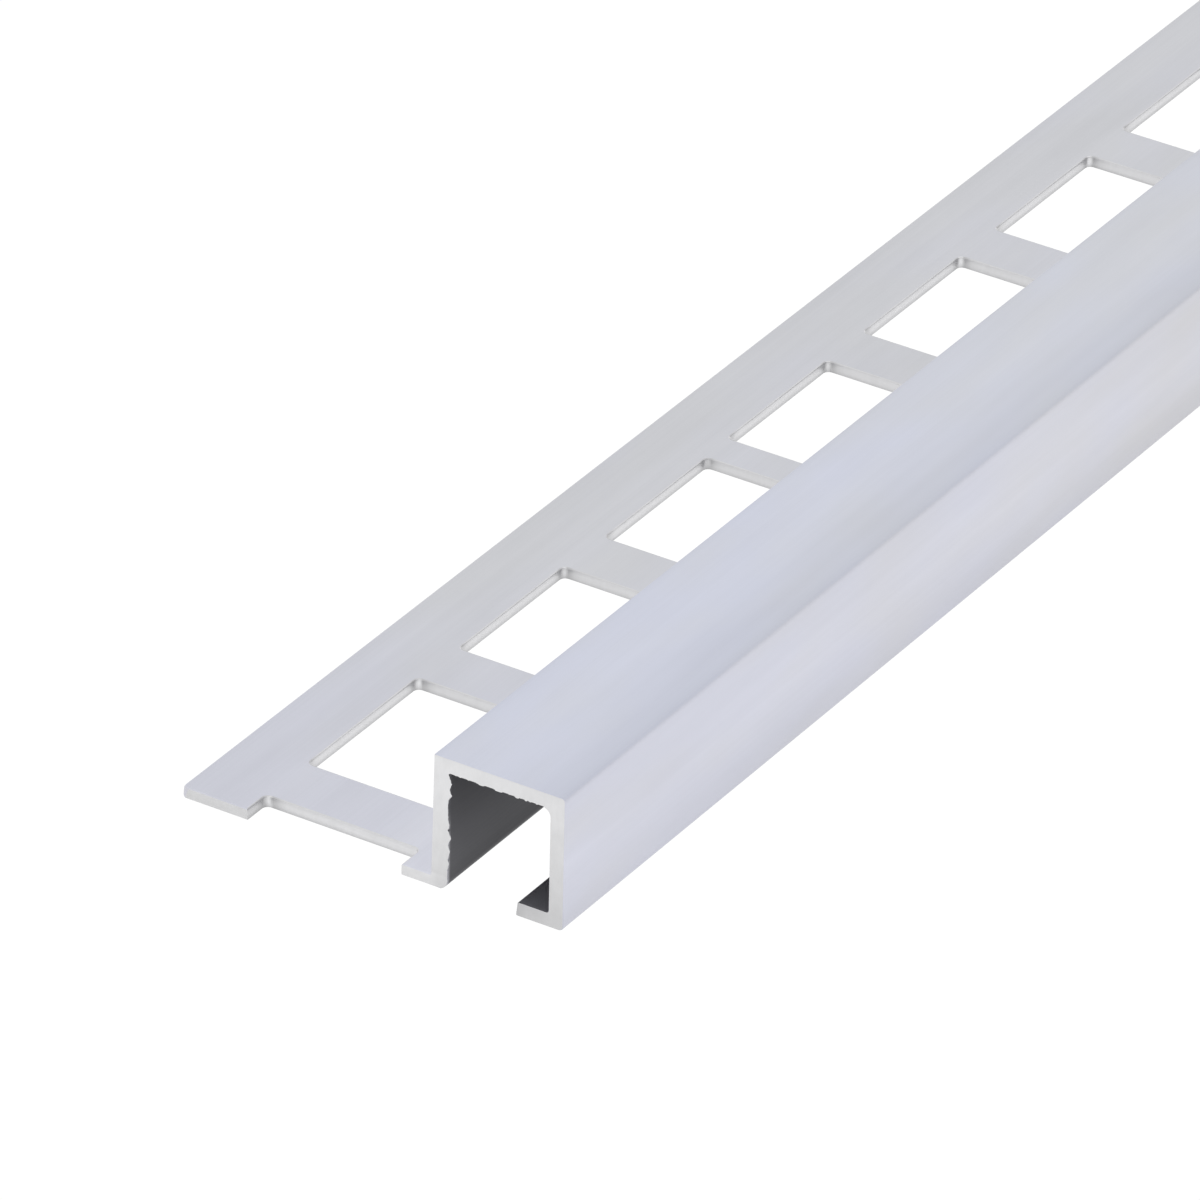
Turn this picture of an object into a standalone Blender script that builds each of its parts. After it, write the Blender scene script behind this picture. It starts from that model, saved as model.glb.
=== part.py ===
"""Square-edge tile trim: one aluminium extrusion with a punched anchoring flange.

The stock lies along X, level on its flange. Its flange reaches to +Y, under the tiles, and its channel, whose
square top and outer face stay in view, is at -Y. Z = 0 is the flat underside of flange, wall foot and lip, and
the origin is the middle of that underside. Both ends are sawn square, wherever the saw met the openings.
"""

import math

import bmesh
import bpy
from mathutils import Matrix, Vector

# The whole stock
TRIM_LENGTH = 1.0
TRIM_HEIGHT = 0.010
FLANGE_WIDTH = 0.0195
CHANNEL_WIDTH = 0.010

# Walls of the section
FLANGE_THICKNESS = 0.00085
TILE_WALL_THICKNESS = 0.0012
TOP_THICKNESS = 0.00115
OUTER_WALL_THICKNESS = 0.0011
LIP_THICKNESS = 0.00105
LIP_REACH = 0.0035

# Radii that the extrusion die leaves
FLANGE_EDGE_RADIUS = 0.00025
TOP_TILE_RADIUS = 0.0002
TOP_OUTER_RADIUS = 0.0003
BOTTOM_OUTER_RADIUS = 0.0004
LIP_EDGE_RADIUS = 0.00015
LIP_ROOT_RADIUS = 0.0002
TOP_ROOT_RADIUS = 0.0006
WALL_FOOT_RADIUS = 0.00075
SECTION_ARC_STEPS = 3

# Openings in the flange, which a punch strikes a group at a time
OPENING_LENGTH = 0.0131
OPENING_RADIUS = 0.0006
OPENING_ARC_STEPS = 3
OUTER_STRIP_WIDTH = 0.0054
INNER_STRIP_WIDTH = 0.0023
BAR_WIDTH = 0.0047
GROUP_BAR_WIDTH = 0.00295
OPENINGS_IN_GROUP = 10
FIRST_GROUP_REST = 4
CUT_OPENING_REST = 0.0022
PUNCH_OVERRUN = 0.001

TRIM_WIDTH = FLANGE_WIDTH + CHANNEL_WIDTH
NEAR_END = -TRIM_LENGTH / 2
FAR_END = TRIM_LENGTH / 2
FLANGE_EDGE = TRIM_WIDTH / 2
TILE_WALL_FACE = FLANGE_EDGE - FLANGE_WIDTH
OUTER_FACE = -TRIM_WIDTH / 2

MILL_ALUMINIUM = (0.60, 0.61, 0.66, 1.0)
WELD_DISTANCE = 0.000001


def clear_scene():
    for thing in list(bpy.data.objects):
        bpy.data.objects.remove(thing, do_unlink=True)


def new_collection(name):
    made = bpy.data.collections.new(name)
    bpy.context.scene.collection.children.link(made)
    return made


def mill_aluminium():
    """Bare extruded aluminium, pale and silky."""
    material = bpy.data.materials.new("mill_aluminium")
    material.use_nodes = True
    shader = material.node_tree.nodes["Principled BSDF"]
    shader.inputs["Base Color"].default_value = MILL_ALUMINIUM
    shader.inputs["Metallic"].default_value = 1.0
    shader.inputs["Roughness"].default_value = 0.42
    return material


def rounded_outline(corners, arc_steps):
    """Closed outline through square corners, each (across, up, radius), with each radius drawn as an arc."""
    points = []
    for index, (across, up, radius) in enumerate(corners):
        corner = Vector((across, up))
        back = (Vector(corners[index - 1][:2]) - corner).normalized()
        ahead = (Vector(corners[(index + 1) % len(corners)][:2]) - corner).normalized()
        centre = corner + radius * (back + ahead)
        steps = arc_steps if radius > 0.0 else 0
        for step in range(steps + 1):
            angle = math.pi / 2 * step / arc_steps
            points.append(centre - radius * (ahead * math.cos(angle) + back * math.sin(angle)))
    return points


def extruded(name, outlines, depth, matrix, collection):
    """A closed mesh object: flat outlines extruded by this depth, half of it to each side of the matrix's XY plane."""
    curve = bpy.data.curves.new(name, "CURVE")
    curve.dimensions = "2D"
    curve.fill_mode = "BOTH"
    curve.extrude = depth / 2
    for outline in outlines:
        spline = curve.splines.new("POLY")
        spline.points.add(len(outline) - 1)
        for point, place in zip(spline.points, outline):
            point.co = (place.x, place.y, 0.0, 1.0)
        spline.use_cyclic_u = True
    drawn = bpy.data.objects.new(name + "_outline", curve)
    drawn.matrix_world = matrix
    collection.objects.link(drawn)
    graph = bpy.context.evaluated_depsgraph_get()
    solid = bpy.data.objects.new(name, bpy.data.meshes.new_from_object(drawn.evaluated_get(graph)))
    solid.matrix_world = drawn.matrix_world
    collection.objects.link(solid)
    bpy.data.objects.remove(drawn, do_unlink=True)
    # The curve's caps are loose faces until they are welded to its sides.
    welded = bmesh.new()
    welded.from_mesh(solid.data)
    bmesh.ops.remove_doubles(welded, verts=welded.verts, dist=WELD_DISTANCE)
    bmesh.ops.recalc_face_normals(welded, faces=welded.faces)
    welded.to_mesh(solid.data)
    welded.free()
    return solid


def trim_section():
    """The die's outline: flange, wall beside the tiles, top, outer wall and the lip that turns in under the top."""
    lip_end = OUTER_FACE + LIP_REACH
    outer_wall_inside = OUTER_FACE + OUTER_WALL_THICKNESS
    tile_wall_inside = TILE_WALL_FACE - TILE_WALL_THICKNESS
    top_inside = TRIM_HEIGHT - TOP_THICKNESS
    corners = [
        (FLANGE_EDGE, 0.0, FLANGE_EDGE_RADIUS),
        (FLANGE_EDGE, FLANGE_THICKNESS, FLANGE_EDGE_RADIUS),
        (TILE_WALL_FACE, FLANGE_THICKNESS, 0.0),
        (TILE_WALL_FACE, TRIM_HEIGHT, TOP_TILE_RADIUS),
        (OUTER_FACE, TRIM_HEIGHT, TOP_OUTER_RADIUS),
        (OUTER_FACE, 0.0, BOTTOM_OUTER_RADIUS),
        (lip_end, 0.0, LIP_EDGE_RADIUS),
        (lip_end, LIP_THICKNESS, LIP_EDGE_RADIUS),
        (outer_wall_inside, LIP_THICKNESS, LIP_ROOT_RADIUS),
        (outer_wall_inside, top_inside, TOP_ROOT_RADIUS),
        (tile_wall_inside, top_inside, 0.0),
        (tile_wall_inside, 0.0, WALL_FOOT_RADIUS),
    ]
    return rounded_outline(corners, SECTION_ARC_STEPS)


def extruded_trim(collection):
    """The whole bar as it leaves the die, with its section's across along Y, its up along Z and its length along X."""
    along_x = Matrix.Rotation(math.pi / 2, 4, "Z") @ Matrix.Rotation(math.pi / 2, 4, "X")
    return extruded("edge_trim", [trim_section()], TRIM_LENGTH, along_x, collection)


def opening_starts():
    """Where each opening begins along X. The saw left the rest of one at the near end, and each group of openings
    follows the last with a narrower bar, because the strip is fed on a little short between strokes."""
    starts = []
    left_in_group = FIRST_GROUP_REST
    start = NEAR_END + CUT_OPENING_REST - OPENING_LENGTH
    while start + OPENING_RADIUS < FAR_END:
        starts.append(start)
        left_in_group -= 1
        bar = BAR_WIDTH
        if left_in_group == 0:
            left_in_group = OPENINGS_IN_GROUP
            bar = GROUP_BAR_WIDTH
        start += OPENING_LENGTH + bar
    return starts


def opening_outline(start):
    """One opening seen from above, a rectangle with round corners."""
    end = start + OPENING_LENGTH
    outer_side = FLANGE_EDGE - OUTER_STRIP_WIDTH
    inner_side = TILE_WALL_FACE + INNER_STRIP_WIDTH
    corners = [
        (start, inner_side, OPENING_RADIUS),
        (end, inner_side, OPENING_RADIUS),
        (end, outer_side, OPENING_RADIUS),
        (start, outer_side, OPENING_RADIUS),
    ]
    return rounded_outline(corners, OPENING_ARC_STEPS)


def flange_punches(collection):
    """The punches for all the openings, each longer than the flange is thick by an overrun at both faces."""
    outlines = [opening_outline(start) for start in opening_starts()]
    at_flange = Matrix.Translation((0.0, 0.0, FLANGE_THICKNESS / 2))
    punches = extruded("flange_punches", outlines, FLANGE_THICKNESS + 2 * PUNCH_OVERRUN, at_flange, collection)
    punches.hide_render = True
    punches.display_type = "WIRE"
    return punches


def punch_flange(trim, punches):
    cut = trim.modifiers.new("flange_openings", "BOOLEAN")
    cut.operation = "DIFFERENCE"
    cut.solver = "EXACT"
    cut.object = punches


clear_scene()
trim_collection = new_collection("tile_edge_trim")
cutter_collection = new_collection("cutters")
cutter_collection.hide_render = True
edge_trim = extruded_trim(trim_collection)
edge_trim.data.materials.append(mill_aluminium())
punch_flange(edge_trim, flange_punches(cutter_collection))
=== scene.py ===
import math

import bpy
from mathutils import Matrix, Vector


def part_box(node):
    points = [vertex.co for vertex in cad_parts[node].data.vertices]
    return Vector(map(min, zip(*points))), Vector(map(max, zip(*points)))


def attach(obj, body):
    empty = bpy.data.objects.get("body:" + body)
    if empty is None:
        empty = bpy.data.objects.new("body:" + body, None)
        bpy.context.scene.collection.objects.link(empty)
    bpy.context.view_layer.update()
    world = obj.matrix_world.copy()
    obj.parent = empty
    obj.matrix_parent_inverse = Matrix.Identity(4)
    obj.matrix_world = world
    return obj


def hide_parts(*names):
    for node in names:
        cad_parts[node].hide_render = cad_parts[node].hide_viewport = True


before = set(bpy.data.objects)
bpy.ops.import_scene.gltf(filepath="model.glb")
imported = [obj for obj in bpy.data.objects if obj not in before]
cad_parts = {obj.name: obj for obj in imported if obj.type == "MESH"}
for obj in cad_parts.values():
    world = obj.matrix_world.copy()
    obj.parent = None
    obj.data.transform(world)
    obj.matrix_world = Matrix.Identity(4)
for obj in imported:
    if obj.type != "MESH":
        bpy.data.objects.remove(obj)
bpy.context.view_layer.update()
near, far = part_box("edge_trim")

# Extruded faces
# The die leaves aluminium pale and silky, with fine lines along the bar, and handling leaves faint smudges.
# The channel's top and outer face, which stay in view, are a little smoother than the flange.
MM = 0.001
NUMBER = "NodeSocketFloat"
PLACE = "NodeSocketVector"
# The metal's neutral tone, and the cool one of its painted sheen, a painted reflection.
SHOW_TONES = ((0.620, 0.630, 0.664), (0.620, 0.641, 0.736))
MILL_TONES = ((0.612, 0.618, 0.646), (0.618, 0.627, 0.694))
# The painted reflection tint of an upright face, and the upward part of the normal at which a face is level
# and upright.
UPRIGHT_PAINTED_REFLECTION = (0.995, 0.977, 0.958)
LEVEL_TO_UPRIGHT = (0.8, 0.5)
# How often each pattern changes in a metre along X, Y and Z.
BANDS = (3.0, 900.0, 900.0)
LINES = (14.0, 6500.0, 6500.0)
SMUDGES = (55.0, 240.0, 240.0)
# The painted sheen's patches, a painted reflection, change this often.
PAINTED_SHEEN_PATCHES = (75.0, 190.0, 190.0)
# Tones at places in millimetres: across the channel's top from its outer edge, up its outer face from its
# foot, and across the flange from its outer edge. On the channel they are painted light and shade, darkest
# at its edges and paler between.
TOP_PAINTED_SHADING = [
    (0, 0.86), (0.35, 0.90), (0.65, 0.922), (1.35, 0.932), (1.95, 0.942), (2.75, 0.968), (4.75, 1.006),
    (6.75, 1.018), (9.3, 0.995), (9.7, 0.97), (10, 0.93),
]
FACE_PAINTED_SHADING = [
    (0, 0.89), (0.6, 0.914), (1.5, 0.945), (3, 1.012), (5, 1.052), (6.5, 1.052), (8.7, 1.038), (9.6, 1.012),
    (9.82, 0.95), (10, 0.90),
]
FLANGE_TONES = [(0, 0.955), (0.6, 0.975), (1.6, 1.0), (20, 1.01)]
# The heights between which the outer face's tone goes over into the top's, round their edge.
ROUND_EDGE = (far.z - 0.22 * MM, far.z - 0.02 * MM)
# The painted glow, a painted highlight on the flange beside the channel: where it comes in across the
# flange, how far from the near cut it fades, and how strong it is at its most.
GLOW_ACROSS = (2.5 * MM, -2.0 * MM)
GLOW_ALONG = (10 * MM, 90 * MM)
GLOW = 0.07


def wire(tree, node, values):
    """Give each named input what it takes: a value, or the socket that feeds it."""
    for name, value in values.items():
        if isinstance(value, bpy.types.NodeSocket):
            tree.links.new(value, node.inputs[name])
        else:
            node.inputs[name].default_value = value


def add_node(tree, kind, wired=None, **settings):
    """A node of this kind with its settings, and what its inputs take."""
    node = tree.nodes.new(kind)
    for name, value in settings.items():
        setattr(node, name, value)
    wire(tree, node, wired or {})
    return node


def maths(tree, operation, *values):
    """The result of one Math node."""
    return add_node(tree, "ShaderNodeMath", dict(enumerate(values)), operation=operation).outputs[0]


def vector_maths(tree, operation, *values):
    """The result of one Vector Math node: a number for a length or a distance, and otherwise a vector."""
    result = "Value" if operation in ("LENGTH", "DISTANCE") else "Vector"
    wired = dict(enumerate(values))
    return add_node(tree, "ShaderNodeVectorMath", wired, operation=operation).outputs[result]


def scaled(tree, vector, factor):
    wired = {0: vector, "Scale": factor}
    return add_node(tree, "ShaderNodeVectorMath", wired, operation="SCALE").outputs["Vector"]


def chained(tree, operation, *values):
    """The same operation from one value to the next, such as the product of several."""
    result = values[0]
    for value in values[1:]:
        result = maths(tree, operation, result, value)
    return result


def ranged(tree, value, low, high, at_low=0.0, at_high=1.0, kind="SMOOTHSTEP"):
    """The value turned from one range into another, and held at its ends."""
    wired = {"Value": value, "From Min": low, "From Max": high, "To Min": at_low, "To Max": at_high}
    return add_node(tree, "ShaderNodeMapRange", wired, interpolation_type=kind).outputs[0]


def mixed(tree, factor, first, second, kind="RGBA"):
    """One colour or number going over into another."""
    # Where the Mix node has its two inputs and its result for each kind of value.
    one, other, result = {"RGBA": (6, 7, 2), "FLOAT": (2, 3, 0)}[kind]
    wired = {0: factor, one: first, other: second}
    return add_node(tree, "ShaderNodeMix", wired, data_type=kind).outputs[result]


def ramped(tree, value, stops):
    """A number read off a row of stops, each a place in millimetres and the number there."""
    length = stops[-1][0]
    ramp = add_node(tree, "ShaderNodeValToRGB", {0: maths(tree, "DIVIDE", value, length * MM)})
    elements = ramp.color_ramp.elements
    elements.remove(elements[1])
    elements[0].position = 0.0
    elements[0].color = (*[stops[0][1]] * 3, 1.0)
    for place, number in stops[1:]:
        elements.new(place / length).color = (number, number, number, 1.0)
    return ramp.outputs[0]


def noise(tree, at, per_metre, detail=2.0, roughness=0.5):
    """Soft noise from 0 to 1, which changes this often along X, Y and Z."""
    placed = vector_maths(tree, "MULTIPLY", at, per_metre)
    wired = {"Vector": placed, "Scale": 1.0, "Detail": detail, "Roughness": roughness}
    return add_node(tree, "ShaderNodeTexNoise", wired, noise_dimensions="3D").outputs[0]


def parted(tree, vector):
    """The X, Y and Z of a vector."""
    return add_node(tree, "ShaderNodeSeparateXYZ", {0: vector}).outputs


def facing(tree):
    """The X, Y and Z of the normal of the surface being shaded."""
    return parted(tree, add_node(tree, "ShaderNodeNewGeometry").outputs["Normal"])


def new_group(name, kind, inputs, outputs):
    """An empty node group with these sockets: its tree, its inputs by name and its output node."""
    tree = bpy.data.node_groups.new(name, kind)
    for direction, sockets in (("INPUT", inputs), ("OUTPUT", outputs)):
        for socket_name, socket_kind in sockets.items():
            tree.interface.new_socket(socket_name, in_out=direction, socket_type=socket_kind)
    return tree, tree.nodes.new("NodeGroupInput").outputs, tree.nodes.new("NodeGroupOutput")


def placed_group(tree, group, values, kind="ShaderNodeGroup"):
    """A node group placed in a tree, with what its named inputs take."""
    return add_node(tree, kind, values, node_tree=group).outputs


def die_lines_group():
    """Broad bands and fine lines along the bar, with smudges between them."""
    inputs = {"Position": PLACE, "Bands": NUMBER, "Lines": NUMBER, "Smudges": NUMBER}
    outputs = {"Shade": NUMBER, "Height": NUMBER}
    tree, given, result = new_group("die_lines", "ShaderNodeTree", inputs, outputs)
    bands = noise(tree, given["Position"], BANDS)
    lines = noise(tree, given["Position"], LINES, detail=3.0, roughness=0.6)
    smudges = noise(tree, given["Position"], SMUDGES, detail=4.0, roughness=0.6)
    shade = 1.0
    for pattern, amount in ((bands, "Bands"), (lines, "Lines"), (smudges, "Smudges")):
        from_middle = maths(tree, "SUBTRACT", pattern, 0.5)
        shade = maths(tree, "ADD", maths(tree, "MULTIPLY", from_middle, given[amount]), shade)
    wire(tree, result, {"Shade": shade, "Height": lines})
    return tree


def cool_sheen_group():
    """Where faces have the painted cool sheen: mostly towards the near end, and in soft patches beyond."""
    inputs = {"Position": PLACE, "From": NUMBER, "Reach": NUMBER, "Beyond": NUMBER, "Patches": NUMBER}
    tree, given, result = new_group("painted_cool_sheen", "ShaderNodeTree", inputs, {"Mask": NUMBER})
    along = maths(tree, "SUBTRACT", parted(tree, given["Position"])["X"], given["From"])
    fading = ranged(tree, along, 0.0, given["Reach"], 1.0, given["Beyond"])
    patches = maths(tree, "SUBTRACT", noise(tree, given["Position"], PAINTED_SHEEN_PATCHES, detail=1.0), 0.5)
    mask = maths(tree, "ADD", fading, maths(tree, "MULTIPLY", patches, given["Patches"]))
    wire(tree, result, {"Mask": ranged(tree, mask, 0.0, 1.0, kind="LINEAR")})
    return tree


die_lines = die_lines_group()
painted_cool_sheen = cool_sheen_group()


def new_metal(name, roughness):
    """A metal material: itself, its tree, its shader and the Object coordinates that its patterns read."""
    material = bpy.data.materials.new(name)
    material.use_nodes = True
    tree = material.node_tree
    shader = tree.nodes["Principled BSDF"]
    wire(tree, shader, {"Metallic": 1.0, "Roughness": roughness})
    position = tree.nodes.new("ShaderNodeTexCoord").outputs["Object"]
    return material, tree, shader, position


def coloured(tree, shader, colour, *shades):
    """The shader's colour, darkened and lightened by each shade in turn."""
    wire(tree, shader, {"Base Color": scaled(tree, colour, chained(tree, "MULTIPLY", *shades))})


def raised(tree, shader, height, strength=0.3, distance=0.02 * MM):
    """Fine relief on the shader's surface."""
    bump = add_node(tree, "ShaderNodeBump", {"Height": height, "Strength": strength, "Distance": distance})
    wire(tree, shader, {"Normal": bump.outputs[0]})


def extruded_metal(name, roughness, tones, sheen, lines, face_tone):
    """Aluminium as the die leaves it, between a neutral tone and the cool one of a painted sheen."""
    material, tree, shader, position = new_metal(name, roughness)
    drawn = placed_group(tree, die_lines, {"Position": position} | lines)
    # The cool tone is a painted sheen, a painted reflection, strongest towards the near end.
    cool = placed_group(tree, painted_cool_sheen, {"Position": position, "From": near.x} | sheen)["Mask"]
    colour = mixed(tree, cool, (*tones[0], 1.0), (*tones[1], 1.0))
    # Painted reflection: an upright face reflects less blue than a level one, so it is painted less blue.
    upright = ranged(tree, maths(tree, "ABSOLUTE", facing(tree)["Z"]), *LEVEL_TO_UPRIGHT)
    colour = mixed(tree, upright, colour, vector_maths(tree, "MULTIPLY", colour, UPRIGHT_PAINTED_REFLECTION))
    # face_tone adds the channel's painted light and shade, or the flange's tone and painted glow.
    coloured(tree, shader, colour, drawn["Shade"], face_tone(tree, position))
    rough = maths(tree, "MULTIPLY", maths(tree, "SUBTRACT", 2.0, drawn["Shade"]), roughness)
    wire(tree, shader, {"Roughness": rough})
    raised(tree, shader, drawn["Height"])
    return material


def channel_painted_shading(tree, position):
    """Painted light and shade: the top darker towards its outer edge, the outer face towards its foot."""
    at = parted(tree, position)
    on_top = ramped(tree, maths(tree, "SUBTRACT", at["Y"], near.y), TOP_PAINTED_SHADING)
    on_face = ramped(tree, at["Z"], FACE_PAINTED_SHADING)
    return mixed(tree, ranged(tree, at["Z"], *ROUND_EDGE), on_face, on_top, "FLOAT")


def flange_tone_and_painted_glow(tree, position):
    """Darker along the flange's outer edge, with a painted glow beside the channel near the cut."""
    at = parted(tree, position)
    from_edge = ramped(tree, maths(tree, "SUBTRACT", far.y, at["Y"]), FLANGE_TONES)
    # The painted glow: a painted highlight beside the channel, fading away from the near cut.
    beside = ranged(tree, at["Y"], *GLOW_ACROSS)
    from_cut = ranged(tree, maths(tree, "SUBTRACT", at["X"], near.x), *GLOW_ALONG, GLOW, 0.0)
    return maths(tree, "MULTIPLY_ADD", beside, from_cut, from_edge)


show_face = extruded_metal(
    "show_face",
    roughness=0.40,
    tones=SHOW_TONES,
    sheen={"Reach": 0.125, "Beyond": 0.0, "Patches": 1.5},
    lines={"Bands": 0.05, "Lines": 0.045, "Smudges": 0.10},
    face_tone=channel_painted_shading,
)
mill_face = extruded_metal(
    "mill_face",
    roughness=0.44,
    tones=MILL_TONES,
    sheen={"Reach": 0.04, "Beyond": 0.1, "Patches": 1.3},
    lines={"Bands": 0.06, "Lines": 0.06, "Smudges": 0.12},
    face_tone=flange_tone_and_painted_glow,
)

# Channel's inside
# The hollow's walls are dull, and painted dark as painted shade, since little light gets into the channel.
# Towards both ends they are painted a little paler, with a painted bright rim at the cut. The lip's upper
# face looks as pale as the faces outside.
HOLLOW_TINT = (1.0, 1.0, 1.09)
HOLLOW_LINES = {"Bands": 0.10, "Lines": 0.12, "Smudges": 0.10}
# Painted shade: tones up the walls, and their shares at depths in from the nearer cut, paler towards the
# ends.
HOLLOW_PAINTED_SHADE = [(0, 0.066), (0.8, 0.068), (2, 0.085), (4, 0.095), (7, 0.112), (8.5, 0.115), (10, 0.115)]
HOLLOW_PAINTED_LIGHT_SHARES = [(0, 1.25), (0.5, 1.25), (2, 1.1), (6, 0.92), (10, 0.90)]
# The painted rim, a painted highlight at the cut: how deep it reaches, and how much it adds up to
# the first height and from the second one.
PAINTED_RIM_DEPTH = 0.4 * MM
PAINTED_RIM_HEIGHTS = (4.5 * MM, 6 * MM)
PAINTED_RIM_TONES = (0.34, 0.10)
# The lip: its own tone, and where that comes in, down from the hollow and in from the slot.
LIP_TONE = 0.79
DOWN_TO_LIP = (1.15 * MM, 1.02 * MM)
BACK_TO_LIP = (near.y + 3.6 * MM, near.y + 3.5 * MM)


def from_ends(tree, along, near_end, far_end):
    """How far in from the nearer cut a place along the bar lies."""
    from_near = maths(tree, "SUBTRACT", along, near_end)
    from_far = maths(tree, "SUBTRACT", far_end, along)
    return maths(tree, "MINIMUM", from_near, from_far)


def hollow_painted_shade():
    """Dull metal for the hollow, painted dark as shade, and paler towards the ends and at the cut."""
    material, tree, shader, position = new_metal("channel_inside_painted_shade", roughness=0.5)
    drawn = placed_group(tree, die_lines, {"Position": position} | HOLLOW_LINES)
    at = parted(tree, position)
    depth = from_ends(tree, at["X"], near.x, far.x)
    # Painted shade, darkest low down and deep in, and painted paler towards the ends and at the cut.
    upwards = ramped(tree, at["Z"], HOLLOW_PAINTED_SHADE)
    inwards = ramped(tree, depth, HOLLOW_PAINTED_LIGHT_SHARES)
    by_cut = ranged(tree, depth, 0.0, PAINTED_RIM_DEPTH, 1.0, 0.0)
    by_cut = maths(tree, "MULTIPLY", by_cut, ranged(tree, at["Z"], *PAINTED_RIM_HEIGHTS, *PAINTED_RIM_TONES))
    wall = maths(tree, "MULTIPLY_ADD", upwards, inwards, by_cut)
    low = ranged(tree, at["Z"], *DOWN_TO_LIP, kind="LINEAR")
    on_lip = maths(tree, "MULTIPLY", low, ranged(tree, at["Y"], *BACK_TO_LIP, kind="LINEAR"))
    # The lip's upper face sees only the walls above it, which are painted dark as shade, so its own tone
    # is much paler than theirs.
    coloured(tree, shader, HOLLOW_TINT, mixed(tree, on_lip, wall, LIP_TONE, "FLOAT"), drawn["Shade"])
    raised(tree, shader, drawn["Height"])
    return material


channel_inside_painted_shade = hollow_painted_shade()

# Sawn ends
# The saw leaves both ends square and paler than the extruded faces, with fine tooth marks. Painted shade
# makes them darker towards their foot, so they are palest at the channel's top. They are darkest on the lip.
SAWN_TINT = (1.0, 1.0, 1.012)
SAWN_GRAIN = {
    "Marks per metre": (1.0, 3200.0, 900.0),
    "Mottle per metre": (1.0, 900.0, 900.0),
    "Mottle detail": 3.0,
    "Mottle roughness": 0.5,
}
# The values that both noises mostly lie between, the share of the tone that the marks leave there, and what
# the mottle adds to it.
NOISE_RANGE = (0.3, 0.7)
MARK_SHARES = (0.985, 1.015)
MOTTLE_ADDS = (-0.02, 0.02)
# Tones up the tile wall and up the outer wall, with painted shade that darkens them towards the foot,
# and the share of them that the lowest part of the section has from the outer face across to the flange's
# edge.
TILE_WALL_PAINTED_SHADE = [
    (0, 0.59), (0.5, 0.60), (1, 0.628), (1.4, 0.672), (2, 0.69), (3, 0.705), (5, 0.718), (7, 0.742),
    (9.8, 0.745), (10, 0.70),
]
OUTER_WALL_PAINTED_SHADE = [
    (0, 0.597), (1, 0.604), (2, 0.631), (3, 0.647), (5, 0.672), (7, 0.698), (8, 0.716), (9.8, 0.735),
    (10, 0.70),
]
LOW_SHARES = [
    (0, 1.0), (0.75, 1.01), (1.25, 0.985), (1.75, 0.94), (2.75, 0.92), (3.2, 0.865), (3.5, 0.845),
    (3.7, 1.0), (9.5, 1.06), (10.2, 1.16), (12.4, 1.165), (16, 1.09), (29.5, 1.055),
]
# Where the outer wall's tones go over into the tile wall's, and how far down the lowest part begins.
WALL_TO_WALL = (3 * MM, 9 * MM)
DOWN_TO_LOW = (1.15 * MM, 1.0 * MM)


def cut_grain_group():
    """The marks of a cutting tool and a mottle over them, which lighten and darken the metal a little."""
    inputs = {"Position": PLACE, "Marks per metre": PLACE, "Mottle per metre": PLACE}
    inputs |= {"Mottle detail": NUMBER, "Mottle roughness": NUMBER}
    outputs = {"Shade": NUMBER, "Marks": NUMBER, "Mottle": NUMBER}
    tree, given, result = new_group("cut_grain", "ShaderNodeTree", inputs, outputs)
    marks = noise(tree, given["Position"], given["Marks per metre"], detail=3.0, roughness=0.6)
    detail, roughness = given["Mottle detail"], given["Mottle roughness"]
    mottle = noise(tree, given["Position"], given["Mottle per metre"], detail, roughness)
    marked = ranged(tree, marks, *NOISE_RANGE, *MARK_SHARES)
    mottled = ranged(tree, mottle, *NOISE_RANGE, *MOTTLE_ADDS)
    wire(tree, result, {"Shade": maths(tree, "ADD", marked, mottled), "Marks": marks, "Mottle": mottle})
    return tree


cut_grain = cut_grain_group()


def sawn_metal():
    """Metal that the saw has cut across the bar."""
    material, tree, shader, position = new_metal("sawn_face", roughness=0.5)
    grain = placed_group(tree, cut_grain, {"Position": position} | SAWN_GRAIN)
    at = parted(tree, position)
    # Painted shade: each wall of the cut is darker towards its foot.
    up_tile_wall = ramped(tree, at["Z"], TILE_WALL_PAINTED_SHADE)
    up_outer_wall = ramped(tree, at["Z"], OUTER_WALL_PAINTED_SHADE)
    across = maths(tree, "SUBTRACT", at["Y"], near.y)
    upwards = mixed(tree, ranged(tree, across, *WALL_TO_WALL), up_outer_wall, up_tile_wall, "FLOAT")
    low = ranged(tree, at["Z"], *DOWN_TO_LOW, kind="LINEAR")
    share = mixed(tree, low, 1.0, ramped(tree, across, LOW_SHARES), "FLOAT")
    coloured(tree, shader, SAWN_TINT, upwards, share, grain["Shade"])
    raised(tree, shader, grain["Marks"])
    return material


sawn_face = sawn_metal()

# Punched edges
# The punch rolls the flange's upper edge over, burnishes the wall below and breaks the last of it out
# underneath. It strikes ten openings at a time, and the strip is fed on a little short between strokes.
COUNT = "NodeSocketInt"
# The row is set out on the flange of the CAD model, which the tile wall's face bounds. The openings' length,
# and what is left of the one that the saw cut through, are in millimetres.
flange_width = 19.5 * MM
outer_strip = 5.4 * MM
inner_strip = 2.3 * MM
opening_width = flange_width - outer_strip - inner_strip
opening_length = 13.1
cut_opening_rest = 2.2
punch = {
    "First opening": near.x + (cut_opening_rest - opening_length) * MM,
    "Opening length": opening_length * MM,
    "Opening width": opening_width,
    "Opening radius": 0.42 * MM,
    "Row middle": far.y - outer_strip - opening_width / 2,
    "Bar": 4.7 * MM,
    "Group bar": 2.95 * MM,
    "In group": 10,
    "Left in first": 4,
}
PUNCHED_TINT = (1.0, 1.0, 1.018)
PUNCHED_GRAIN = {
    "Marks per metre": (2200.0, 2200.0, 300.0),
    "Mottle per metre": (320.0, 320.0, 5200.0),
    "Mottle detail": 2.0,
    "Mottle roughness": 0.6,
}
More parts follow.
